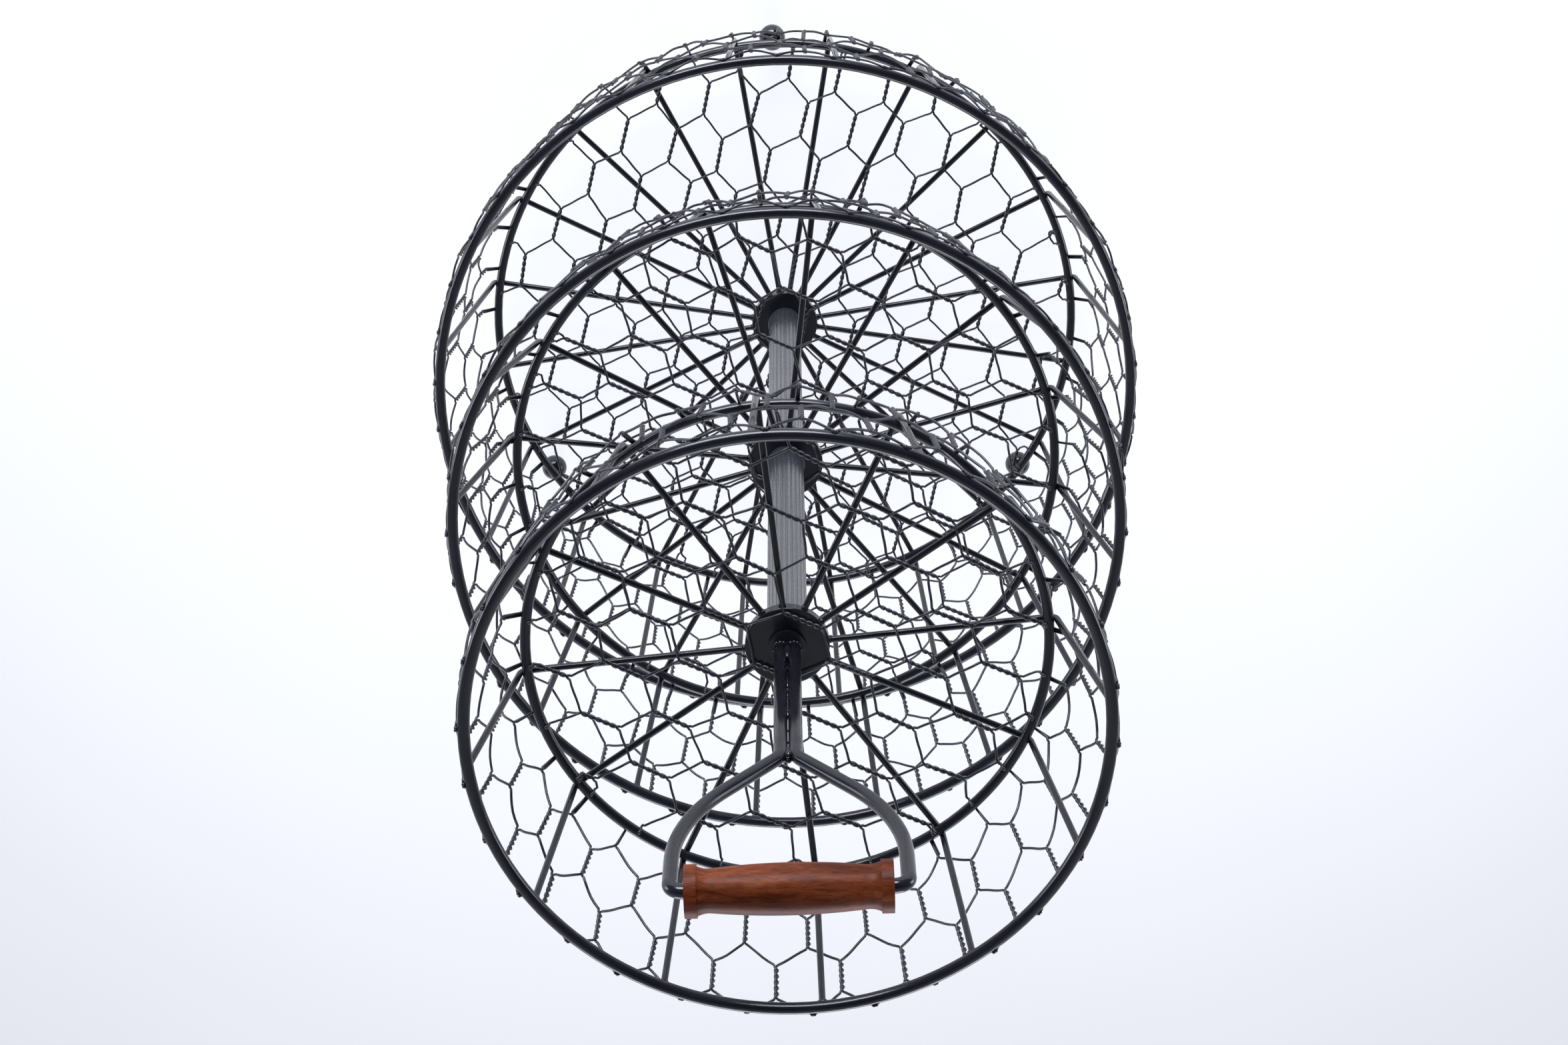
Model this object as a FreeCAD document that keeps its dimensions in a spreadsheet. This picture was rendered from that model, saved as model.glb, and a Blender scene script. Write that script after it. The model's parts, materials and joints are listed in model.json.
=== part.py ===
import FreeCAD, Part
import math
import os
import Sketcher
from FreeCAD import Placement, Rotation, Vector

# Three-tier wire basket stand: three round wire baskets, each wider than the one above, on a
# fluted tube post with ball feet below and a stirrup handle with a turned wooden grip above.
# Origin: middle of the footprint, on the floor. +Z is up. Millimetres.

doc = FreeCAD.newDocument("BasketStand")

DIMENSIONS = [
    # wires
    ("rim_wire", 5.0), ("base_wire", 4.4), ("rib_wire", 2.8), ("net_wire", 0.93),
    # the same three sizes for each basket: base ring, rim ring, height between them
    ("bottom_base_radius", 153.3), ("bottom_rim_radius", 172.7), ("bottom_depth", 107.8),
    ("middle_base_radius", 127.0), ("middle_rim_radius", 149.3), ("middle_depth", 78.4),
    ("top_base_radius", 107.4), ("top_rim_radius", 125.0), ("top_depth", 75.3),
    ("tier_pitch", 194.0),
    # ribs, evenly spaced, with the turn of the first one
    ("bottom_rib_count", 20), ("middle_rib_count", 16), ("top_rib_count", 12),
    ("bottom_rib_turn", 9.6), ("middle_rib_turn", 17.0), ("top_rib_turn", 6.5),
    # hexagonal netting
    ("side_mesh_pitch", 29.6), ("side_twist", 20.2), ("first_twist_drop", 5.0),
    ("floor_mesh_width", 25.8), ("floor_mesh_pitch", 27.8), ("floor_twist", 19.6),
    ("bottom_mesh_count", 42), ("middle_mesh_count", 36), ("top_mesh_count", 30),
    ("bottom_mesh_turn", 1.2), ("middle_mesh_turn", 5.0), ("top_mesh_turn", 4.0),
    ("bottom_floor_turn", 77.8), ("middle_floor_turn", 155.5), ("top_floor_turn", 154.9),
    # feet
    ("foot_diameter", 13.5), ("foot_neck", 0.65), ("foot_neck_diameter", 5.0), ("foot_flat", 0.3),
    ("foot_radius", 154.0), ("foot_turn_first", 34.5), ("foot_turn_second", 146.5),
    ("foot_turn_third", 272.5),
    # hubs
    ("hub_diameter", 34.9), ("hub_thickness", 5.0), ("hub_bore", 6.6), ("hub_edge", 0.6),
    # posts
    ("tube_diameter", 16.8), ("tube_bore", 14.4), ("flute_count", 24), ("flute_radius", 0.45),
    ("collar_diameter", 18.0), ("collar_thickness", 1.6), ("plug_length", 14.0),
    ("plug_diameter", 14.3), ("stud_diameter", 6.0), ("stud_bore", 6.1), ("stud_grip", 12.0),
    ("screw_head_diameter", 12.0), ("screw_head_height", 3.2),
    # handle
    ("handle_wire", 5.5), ("handle_washer_diameter", 15.6), ("handle_washer_thickness", 2.0),
    ("neck_half_gap", 2.8), ("neck_length", 91.5), ("arm_tilt", 39.7), ("stirrup_half_width", 42.0),
    ("stirrup_height", 95.8), ("split_bend", 10.0), ("shoulder_bend", 79.0), ("corner_bend", 5.2),
    ("handle_turn", 1.8),
    # grip
    ("grip_length", 73.2), ("grip_collar_width", 4.4), ("grip_collar_radius", 9.5),
    ("grip_step_radius", 8.8), ("grip_waist_radius", 7.85), ("grip_waist_offset", 27.0),
    ("grip_middle_radius", 9.25), ("grip_bore_radius", 2.85), ("grip_flare_bend", 9.0),
    # slack between pieces that lie against each other
    ("touch_gap", 0.02), ("net_gap", 0.1),
]

sheet = doc.addObject("Spreadsheet::Sheet", "Dimensions")
for row, (alias, value) in enumerate(DIMENSIONS, start=1):
    sheet.set(f"A{row}", alias)
    sheet.set(f"B{row}", str(value))
    sheet.setAlias(f"B{row}", alias)
doc.recompute()

TIERS = ["bottom", "middle", "top"]
nodes = []


def size(alias):
    return float(sheet.get(alias))


def cell(text):
    """An expression in which every @name is a cell of the sheet."""
    return text.replace("@", "Dimensions.")


def bind(item, **expressions):
    for name, text in expressions.items():
        item.setExpression(name.replace("__", "."), cell(text))


def node(item, label):
    item.Label = label
    nodes.append(item)
    return item


# Heights, as expressions on the sheet. The spokes lie against the underside of the base ring.
def base_height(tier):
    rise = TIERS.index(tier)
    return f"(@foot_diameter - @foot_flat + @foot_neck + @base_wire / 2 + {rise} * @tier_pitch)"


def spoke_height(tier):
    return f"({base_height(tier)} - (@base_wire + @rib_wire) / 2 - @touch_gap)"


def hub_bottom(tier):
    return f"({spoke_height(tier)} - @hub_thickness / 2)"


def hub_top(tier):
    return f"({spoke_height(tier)} + @hub_thickness / 2)"


def number(text):
    """The value of such an expression, for the pieces that are shaped point by point."""
    values = {alias: size(alias) for alias, _ in DIMENSIONS}
    for alias in sorted(values, key=len, reverse=True):
        text = text.replace("@" + alias, repr(values[alias]))
    return sheet.evalExpression(text)


# ---------------------------------------------------------------- simple round pieces
def cylinder(label, diameter, length, bottom):
    item = doc.addObject("Part::Cylinder", label)
    bind(item, Radius=f"{diameter} / 2", Height=length)
    bind(item, Placement__Base__z=bottom)
    return item


def cut(label, base, tool):
    item = doc.addObject("Part::Cut", label)
    item.Base = base
    item.Tool = tool
    return item


def bored_cylinder(label, diameter, bore, length, bottom):
    outside = cylinder(label + "_outside", diameter, length, bottom)
    inside = cylinder(label + "_bore", bore, length, bottom)
    return node(cut(label, outside, inside), label)


def ring(label, radius, wire, height):
    item = doc.addObject("Part::Torus", label)
    bind(item, Radius1=radius, Radius2=f"{wire} / 2")
    bind(item, Placement__Base__z=height)
    return node(item, label)


def ball_foot(label, turn):
    """A ball with a small flat to stand on and a short neck up to the base ring."""
    ball = doc.addObject("Part::Sphere", label + "_ball")
    bind(ball, Radius="@foot_diameter / 2", Placement__Base__z="@foot_diameter / 2 - @foot_flat")
    neck = cylinder(label + "_neck", "@foot_neck_diameter",
                    "@foot_diameter / 2 + @foot_neck - @touch_gap",
                    "@foot_diameter / 2 - @foot_flat")
    whole = doc.addObject("Part::Fuse", label + "_whole")
    whole.Base = ball
    whole.Tool = neck
    below = cylinder(label + "_below", "@foot_diameter", "@foot_diameter", "0 - @foot_diameter")
    foot = node(cut(label, whole, below), label)
    bind(foot, Placement__Base__x=f"@foot_radius * cos({turn})",
         Placement__Base__y=f"@foot_radius * sin({turn})")


# ---------------------------------------------------------------- PartDesign helpers
def origin_plane(body, role):
    return next(item for item in body.Origin.OriginFeatures if item.Role == role)


def sketch_on(body, label, role):
    sketch = body.newObject("Sketcher::SketchObject", label)
    sketch.AttachmentSupport = (origin_plane(body, role), [""])
    sketch.MapMode = "FlatFace"
    return sketch


def sketch_circle(sketch, radius, offset="0"):
    """A circle on the sketch's X axis, its radius and offset bound to the sheet."""
    start = Vector(number(offset), 0, 0)
    index = sketch.addGeometry(Part.Circle(start, Vector(0, 0, 1), number(radius)), False)
    size_rule = sketch.addConstraint(Sketcher.Constraint("Radius", index, number(radius)))
    sketch.setExpression(f"Constraints[{size_rule}]", cell(radius))
    sketch.addConstraint(Sketcher.Constraint("PointOnObject", index, 3, -1))
    if offset == "0":
        sketch.addConstraint(Sketcher.Constraint("PointOnObject", index, 3, -2))
        return
    offset_rule = sketch.addConstraint(
        Sketcher.Constraint("DistanceX", -1, 1, index, 3, number(offset)))
    sketch.setExpression(f"Constraints[{offset_rule}]", cell(offset))


def hub(tier):
    """A thick washer with eased edges."""
    label = f"{tier}_hub"
    body = doc.addObject("PartDesign::Body", label)
    outline = sketch_on(body, label + "_outline", "XY_Plane")
    sketch_circle(outline, "@hub_diameter / 2")
    sketch_circle(outline, "@hub_bore / 2")
    pad = body.newObject("PartDesign::Pad", label + "_plate")
    pad.Profile = outline
    bind(pad, Length="@hub_thickness")
    doc.recompute()
    easing = body.newObject("PartDesign::Fillet", label + "_easing")
    rim_edges = [f"Edge{i + 1}" for i, edge in enumerate(pad.Shape.Edges)
                 if abs(edge.Length - math.pi * size("hub_diameter")) < 0.01]
    easing.Base = (pad, rim_edges)
    bind(easing, Radius="@hub_edge")
    body.Tip = easing
    bind(body, Placement__Base__z=hub_bottom(tier))
    node(body, label)


def fluted_tube(label, bottom):
    """A tube with evenly spaced narrow round flutes along its length."""
    body = doc.addObject("PartDesign::Body", label)
    outline = sketch_on(body, label + "_outline", "XY_Plane")
    sketch_circle(outline, "@tube_diameter / 2")
    sketch_circle(outline, "@tube_bore / 2")
    pad = body.newObject("PartDesign::Pad", label + "_wall")
    pad.Profile = outline
    bind(pad, Length="@tier_pitch - @hub_thickness - @collar_thickness")
    doc.recompute()
    flute = sketch_on(body, label + "_flute", "XY_Plane")
    sketch_circle(flute, "@flute_radius", "@tube_diameter / 2")
    groove = body.newObject("PartDesign::Pocket", label + "_groove")
    groove.Profile = flute
    groove.Type = "ThroughAll"
    groove.Reversed = True
    doc.recompute()
    if groove.Shape.Volume > pad.Shape.Volume - 1:
        raise RuntimeError(f"{label}: the flute cuts nothing")
    pattern = body.newObject("PartDesign::PolarPattern", label + "_flutes")
    pattern.Originals = [groove]
    pattern.Axis = (outline, ["N_Axis"])
    pattern.Angle = 360
    bind(pattern, Occurrences="@flute_count")
    body.Tip = pattern
    bind(body, Placement__Base__z=bottom)
    node(body, label)


def grip():
    """The turned grip: a collar at each end, a waist beside each collar and a full middle."""
    body = doc.addObject("PartDesign::Body", "grip")
    profile = sketch_on(body, "grip_profile", "XZ_Plane")
    half = "(@grip_length / 2)"
    shoulder = "(@grip_length / 2 - @grip_collar_width)"
    right = [(half, "@grip_bore_radius"), (half, "@grip_collar_radius"),
             (shoulder, "@grip_collar_radius"), (shoulder, "@grip_step_radius"),
             ("@grip_waist_offset", "@grip_waist_radius")]
    outline = right + [("-" + across, up) for across, up in reversed(right)]
    points = [Vector(number(across), number(up), 0) for across, up in outline]
    flare = size("grip_flare_bend")
    bulge = Vector(0, size("grip_middle_radius"), 0)
    for index, start in enumerate(points):
        end = points[(index + 1) % len(points)]
        if index == 4:
            curve = Part.Arc(start, bulge, end)
        elif index in (3, 5):
            curve = Part.Arc(start, hollow_middle(start, end, flare), end)
        else:
            curve = Part.LineSegment(start, end)
        profile.addGeometry(curve, False)
    for index, (across, up) in enumerate(outline):
        start_point = arc_start(profile, index, points[index])
        for axis, text in (("DistanceX", across), ("DistanceY", up)):
            rule = profile.addConstraint(
                Sketcher.Constraint(axis, -1, 1, index, start_point, number(text)))
            profile.setExpression(f"Constraints[{rule}]", cell(text))
        following = (index + 1) % len(points)
        profile.addConstraint(Sketcher.Constraint(
            "Coincident", index, 3 - start_point,
            following, arc_start(profile, following, points[following])))
    doc.recompute()
    turned = body.newObject("PartDesign::Revolution", "grip_turned")
    turned.Profile = profile
    turned.ReferenceAxis = (profile, ["H_Axis"])
    turned.Angle = 360
    body.Tip = turned
    bind(body, Placement__Base__z=BAR_HEIGHT)
    body.Placement.Rotation = Rotation(Vector(0, 0, 1), size("handle_turn"))
    node(body, "grip")


def hollow_middle(start, end, radius):
    """The middle point of a hollow arc of that radius, which sags towards the grip's axis."""
    chord = end - start
    middle = (start + end) * 0.5
    sag = radius - math.sqrt(radius ** 2 - chord.Length ** 2 / 4)
    across = Vector(-chord.y, chord.x, 0)
    across.normalize()
    if across.y > 0:
        across = across * -1
    return middle + across * sag


def arc_start(sketch, index, point):
    """1 or 2: which end of that piece of the sketch lies at the point."""
    return 1 if sketch.getPoint(index, 1).distanceToPoint(point) < 1e-6 else 2


# ---------------------------------------------------------------- bent wires
def bent_rod(points, bends, diameter):
    """A round rod along straight runs joined by tangent arcs, one bend per inner point."""
    edges = []
    start = points[0]
    for before, corner, after, bend in zip(points, points[1:], points[2:], bends):
        arriving = (corner - before).normalize()
        leaving = (after - corner).normalize()
        turn = arriving.getAngle(leaving)
        reach = bend * math.tan(turn / 2)
        arc_in = corner - arriving * reach
        arc_out = corner + leaving * reach
        inward = (leaving - arriving).normalize()
        arc_middle = corner + inward * (bend / math.cos(turn / 2) - bend)
        edges.append(Part.LineSegment(start, arc_in).toShape())
        edges.append(Part.Arc(arc_in, arc_middle, arc_out).toShape())
        start = arc_out
    edges.append(Part.LineSegment(start, points[-1]).toShape())
    section = Part.Wire(Part.makeCircle(diameter / 2, points[0], points[1] - points[0]))
    return Part.Wire(edges).makePipeShell([section], True, True)


def wall_line(tier):
    """The slanted axis of a rib beside the base ring: foot, direction, outward normal, length."""
    ring_middle = Vector(size(f"{tier}_base_radius"), 0, number(base_height(tier)))
    depth = size(f"{tier}_depth")
    rim_middle = Vector(size(f"{tier}_rim_radius"), 0, ring_middle.z + depth)
    beside = (size("base_wire") + size("rib_wire")) / 2 + size("touch_gap")
    across = rim_middle - ring_middle
    tilt = math.atan2(across.x, across.z) - math.asin(beside / across.Length)
    up = Vector(math.sin(tilt), 0, math.cos(tilt))
    outward = Vector(math.cos(tilt), 0, -math.sin(tilt))
    foot = ring_middle + outward * beside
    return foot, up, outward, (rim_middle - foot).Length


def rib(tier):
    """One rib: out from the hub under the base ring, round it, and up to the rim."""
    foot, up, outward, length = wall_line(tier)
    level = number(spoke_height(tier))
    corner = foot - up * ((foot.z - level) / up.z)
    start = Vector(size("hub_diameter") / 2 + size("touch_gap"), 0, level)
    end = foot + up * (length - size("rim_wire") / 2 - size("touch_gap"))
    bend = (size("base_wire") + size("rib_wire")) / 2 + size("touch_gap")
    return bent_rod([start, corner, end], [bend], size("rib_wire"))


def turned(shape, degrees):
    copy = shape.copy()
    copy.rotate(Vector(0, 0, 0), Vector(0, 0, 1), degrees)
    return copy


def shaped(label, shape):
    item = doc.addObject("Part::Feature", label)
    item.Shape = shape
    return node(item, label)


def ribs(tier):
    """The ribs of a basket, two opposite ones to a node."""
    master = rib(tier)
    count = int(size(f"{tier}_rib_count"))
    step = 360 / count
    for index in range(count // 2):
        angle = size(f"{tier}_rib_turn") + index * step
        pair = Part.makeCompound([turned(master, angle), turned(master, angle + 180)])
        shaped(f"{tier}_ribs_{index + 1:02d}", pair)


# ---------------------------------------------------------------- hexagonal netting
def mesh_strip(half_width, top, rows, pitch, twist):
    """A flat chain of hexagons, one mesh wide: a lattice in X and Y, its outline growing as
    half_width(y) does. Twists lie on its middle line in even rows and on its edges in odd ones."""
    wire = size("net_wire")

    def twist_top(row):
        return top - row * pitch

    def twist_bottom(row):
        return twist_top(row) - twist

    def edge(height):
        return half_width(height) - size("net_gap") / 2

    side = []
    for row in range(rows):
        reach = wire if row % 2 == 0 else None
        for height in (twist_top(row), twist_bottom(row)):
            side.append(Vector(reach or edge(height), height, 0))
    outline = side + [Vector(-point.x, point.y, 0) for point in reversed(side)]
    holes = []
    for row in range(1, rows - 1, 2):
        upper = twist_top(row)
        lower = twist_bottom(row)
        gap = pitch - twist
        slope = gap / edge(upper)
        drop = wire * math.hypot(1, slope)
        inner_top = edge(upper) - wire
        inner_bottom = edge(lower) - wire
        peak = upper + gap + wire * slope - drop
        trough = lower - gap - wire * slope + drop
        right = [Vector(inner_top, peak - inner_top * slope, 0),
                 Vector(inner_bottom, trough + inner_bottom * slope, 0)]
        left = [Vector(-point.x, point.y, 0) for point in reversed(right)]
        loop = [Vector(0, peak, 0)] + right + [Vector(0, trough, 0)] + left
        holes.append(Part.makePolygon(loop + [loop[0]]))
    face = Part.makeFace([Part.makePolygon(outline + [outline[0]])] + holes, "Part::FaceMakerBullseye")
    face.translate(Vector(0, 0, -wire / 2))
    return face.extrude(Vector(0, 0, wire))


def side_netting(tier):
    """The netting round the outside of the ribs, as flat strips one mesh wide."""
    foot, up, outward, length = wall_line(tier)
    thickness = size("net_wire")
    stand_off = size("rib_wire") / 2 + size("net_gap") + thickness / 2
    start = foot + outward * stand_off
    count = int(size(f"{tier}_mesh_count"))
    spread = math.tan(math.pi / count)

    def half_width(height):
        return (start.x + up.x * height) * spread

    rim_gap = math.sqrt((size("rim_wire") / 2 + size("net_gap")) ** 2
                        - (stand_off - thickness / 2) ** 2)
    top = length - size("first_twist_drop")
    pitch = size("side_mesh_pitch")
    rows = 2 * math.ceil((length / pitch + 1) / 2) + 3
    strip = mesh_strip(half_width, top + 2 * pitch, rows + 2, pitch, size("side_twist"))
    window = Part.makeBox(100, length - rim_gap, 10, Vector(-50, 0, -5))
    strip = strip.common(window)
    # strip X runs round the basket, strip Y up the slope, strip Z outward
    strip.Placement = Placement(start, Rotation(Vector(0, 1, 0), up, outward, "XYZ"))
    angles = [size(f"{tier}_mesh_turn") + index * 360 / count for index in range(count)]
    shaped(f"{tier}_side_netting", Part.makeCompound([turned(strip, angle) for angle in angles]))


def floor_netting(tier):
    """The round sheet of netting on the spokes, with one mesh round the post."""
    thickness = size("net_wire")
    ring_gap = size("base_wire") / 2 + thickness + size("net_gap")
    radius = size(f"{tier}_base_radius") - ring_gap
    width = size("floor_mesh_width")
    pitch = size("floor_mesh_pitch")
    twist = size("floor_twist")
    level = number(hub_top(tier)) + thickness / 2 + size("net_gap")
    rows = 4 * math.ceil(radius / (2 * pitch)) + 3
    top = (rows // 2) * pitch + twist / 2
    disc = Part.makeCylinder(radius, 10, Vector(0, 0, -5))
    reach = math.ceil(radius / width)
    strips = []
    for column in range(-reach, reach + 1):
        strip = mesh_strip(lambda height: width / 2, top, rows, pitch, twist)
        strip.translate(Vector(column * width, 0, 0))
        strips += [piece for piece in strip.common(disc).Solids if piece.Volume > 2]
    sheet_shape = Part.makeCompound(strips)
    # strip Y, along the twists, is turned to the netting's own direction
    sheet_shape.rotate(Vector(0, 0, 0), Vector(0, 0, 1), size(f"{tier}_floor_turn") - 90)
    sheet_shape.translate(Vector(0, 0, level))
    shaped(f"{tier}_floor_netting", sheet_shape)


# ---------------------------------------------------------------- handle
NECK_FOOT = f"({hub_top('top')} + @handle_washer_thickness)"
SPLIT_HEIGHT = f"({NECK_FOOT} + @neck_length)"
BAR_HEIGHT = f"({SPLIT_HEIGHT} + @stirrup_height)"


def handle_wire():
    """One wire: up the neck, out along the arm, up the side, across the bar and back."""
    neck = size("neck_half_gap")
    half_width = size("stirrup_half_width")
    foot = number(NECK_FOOT) + size("touch_gap")
    split = number(SPLIT_HEIGHT)
    bar = number(BAR_HEIGHT)
    shoulder = split + (half_width - neck) / math.tan(math.radians(size("arm_tilt")))
    rising = [Vector(neck, 0, foot), Vector(neck, 0, split), Vector(half_width, 0, shoulder),
              Vector(half_width, 0, bar)]
    falling = [Vector(-point.x, 0, point.z) for point in reversed(rising)]
    bends = [size("split_bend"), size("shoulder_bend"), size("corner_bend")]
    wire = bent_rod(rising + falling, bends + bends[::-1], size("handle_wire"))
    shaped("handle_wire", turned(wire, size("handle_turn")))


# ---------------------------------------------------------------- the whole stand
for tier in TIERS:
    ring(f"{tier}_rim", f"@{tier}_rim_radius", "@rim_wire", f"{base_height(tier)} + @{tier}_depth")
    ring(f"{tier}_base_ring", f"@{tier}_base_radius", "@base_wire", base_height(tier))
    hub(tier)
    ribs(tier)
    side_netting(tier)
    floor_netting(tier)

for place in ("first", "second", "third"):
    ball_foot(f"foot_{place}", f"@foot_turn_{place}")

for post, tier, above in (("lower_post", "bottom", "middle"), ("upper_post", "middle", "top")):
    tube_bottom = f"({hub_top(tier)} + @collar_thickness)"
    bored_cylinder(f"{post}_collar", "@collar_diameter", "@hub_bore", "@collar_thickness",
                   hub_top(tier))
    fluted_tube(f"{post}_tube", tube_bottom)
    bored_cylinder(f"{post}_foot_plug", "@plug_diameter", "@stud_bore", "@plug_length",
                   tube_bottom)
    bored_cylinder(f"{post}_head_plug", "@plug_diameter", "@stud_bore", "@plug_length",
                   f"{hub_bottom(above)} - @plug_length")

head = cylinder("bottom_screw_head", "@screw_head_diameter", "@screw_head_height",
                f"{hub_bottom('bottom')} - @screw_head_height")
shank = cylinder("bottom_screw_shank", "@stud_diameter",
                 "@hub_thickness + @collar_thickness + @stud_grip", hub_bottom("bottom"))
screw = doc.addObject("Part::Fuse", "bottom_screw")
screw.Base = head
screw.Tool = shank
node(screw, "bottom_screw")
node(cylinder("middle_stud", "@stud_diameter",
              "2 * @stud_grip + @hub_thickness + @collar_thickness",
              f"{hub_bottom('middle')} - @stud_grip"), "middle_stud")
node(cylinder("handle_stud", "@stud_diameter", "@stud_grip + @hub_thickness",
              f"{hub_bottom('top')} - @stud_grip"), "handle_stud")
node(cylinder("handle_washer", "@handle_washer_diameter", "@handle_washer_thickness",
              hub_top("top")), "handle_washer")
handle_wire()
grip()

doc.recompute()

# ---------------------------------------------------------------- check and write
for item in doc.Objects:
    if "Invalid" in item.State or "Error" in item.State:
        raise RuntimeError(f"{item.Label}: {item.State}")
for item in nodes:
    if item.Shape.isNull() or not item.Shape.isValid():
        raise RuntimeError(f"{item.Label}: the shape is not valid")

os.makedirs("parts", exist_ok=True)
for item in nodes:
    item.Shape.exportStep(f"parts/{item.Label}.step")
    print(item.Label, round(item.Shape.Volume, 1), len(item.Shape.Solids))
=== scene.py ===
import json
import math
import random

import bmesh
import bpy
import numpy as np
from mathutils import Matrix, Vector

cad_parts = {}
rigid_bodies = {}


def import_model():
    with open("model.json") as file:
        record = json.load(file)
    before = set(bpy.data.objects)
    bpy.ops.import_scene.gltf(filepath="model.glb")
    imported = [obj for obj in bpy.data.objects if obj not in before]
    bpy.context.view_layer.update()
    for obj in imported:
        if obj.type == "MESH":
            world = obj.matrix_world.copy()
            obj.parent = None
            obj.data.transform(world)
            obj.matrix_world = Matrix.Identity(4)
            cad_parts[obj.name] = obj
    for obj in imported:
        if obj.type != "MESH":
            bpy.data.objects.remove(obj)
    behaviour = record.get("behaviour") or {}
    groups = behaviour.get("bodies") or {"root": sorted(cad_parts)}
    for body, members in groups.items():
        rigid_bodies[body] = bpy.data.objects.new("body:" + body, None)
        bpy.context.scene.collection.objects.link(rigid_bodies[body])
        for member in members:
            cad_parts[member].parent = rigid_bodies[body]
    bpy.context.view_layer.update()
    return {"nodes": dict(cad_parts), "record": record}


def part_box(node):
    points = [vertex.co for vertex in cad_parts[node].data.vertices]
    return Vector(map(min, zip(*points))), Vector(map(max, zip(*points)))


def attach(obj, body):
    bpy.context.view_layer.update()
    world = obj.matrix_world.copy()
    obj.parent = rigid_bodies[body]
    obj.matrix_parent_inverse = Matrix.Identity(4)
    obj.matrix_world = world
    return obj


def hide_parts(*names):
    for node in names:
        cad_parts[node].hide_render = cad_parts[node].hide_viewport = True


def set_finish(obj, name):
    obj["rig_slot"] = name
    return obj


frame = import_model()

# Looks for a three-tier wire basket stand: true twisted netting, weld beads, black powder coat,
# a varnished wooden grip, a plain studio. Metres.

MM = 0.001
TIERS = {"bottom": "base", "middle": "middle_basket", "top": "top_basket"}


# ---------------------------------------------------------------- sizes read from the frame
class Ring:
    """A wire hoop's centreline radius, wire radius and height, from its CAD node."""

    def __init__(self, node):
        low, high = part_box(node)
        self.wire = (high.z - low.z) / 2
        self.radius = (high.x - low.x) / 2 - self.wire
        self.height = (high.z + low.z) / 2


class Basket:
    """What the netting and the welds of one basket are placed by."""

    def __init__(self, tier):
        self.tier = tier
        self.body = TIERS[tier]
        self.rim = Ring(f"{tier}_rim")
        self.base = Ring(f"{tier}_base_ring")
        hub_low, hub_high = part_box(f"{tier}_hub")
        self.hub_top = hub_high.z
        self.hub_height = (hub_low.z + hub_high.z) / 2
        self.hub_radius = (hub_high.x - hub_low.x) / 2
        self.rib_wire = self.base.height - self.base.wire - self.hub_height
        self.rib_nodes = sorted(n for n in frame["nodes"] if n.startswith(f"{tier}_ribs_"))
        # the slanted axis of a rib: it passes beside the base ring and through the rim's middle
        across = self.rim.radius - self.base.radius
        rise = self.rim.height - self.base.height
        span = math.hypot(across, rise)
        beside = self.base.wire + self.rib_wire
        tilt = math.atan2(across, rise) - math.asin(beside / span)
        self.up = (math.sin(tilt), math.cos(tilt))
        self.out = (math.cos(tilt), -math.sin(tilt))
        self.foot = (self.base.radius + self.out[0] * beside,
                     self.base.height + self.out[1] * beside)
        self.slope = math.hypot(self.rim.radius - self.foot[0], self.rim.height - self.foot[1])

    def rib_angles(self):
        """The turn of every rib. A CAD node holds two opposite ribs, and its outermost point
        gives the turn of one."""
        angles = []
        for name in self.rib_nodes:
            far = max(frame["nodes"][name].data.vertices, key=lambda v: v.co.xy.length)
            angle = math.atan2(far.co.y, far.co.x)
            angles += [angle, angle + math.pi]
        return angles

    def on_wall(self, turn, climb, stand_off):
        """A point beside the wall: turn round the axis, climb up the slope, distance outward."""
        radius = self.foot[0] + self.up[0] * climb + self.out[0] * stand_off
        height = self.foot[1] + self.up[1] * climb + self.out[1] * stand_off
        return (radius * math.cos(turn), radius * math.sin(turn), height)


# ---------------------------------------------------------------- mesh helpers
def new_object(name, mesh, body, slot):
    """A new piece in the scene that moves with a body and has the material of a slot."""
    piece = bpy.data.objects.new(name, mesh)
    bpy.context.scene.collection.objects.link(piece)
    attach(piece, body)
    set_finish(piece, slot)
    return piece


# a direction that no wire starts along, to measure the first ring of points from
SKEW = (0.31, 0.17, 0.93)


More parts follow.
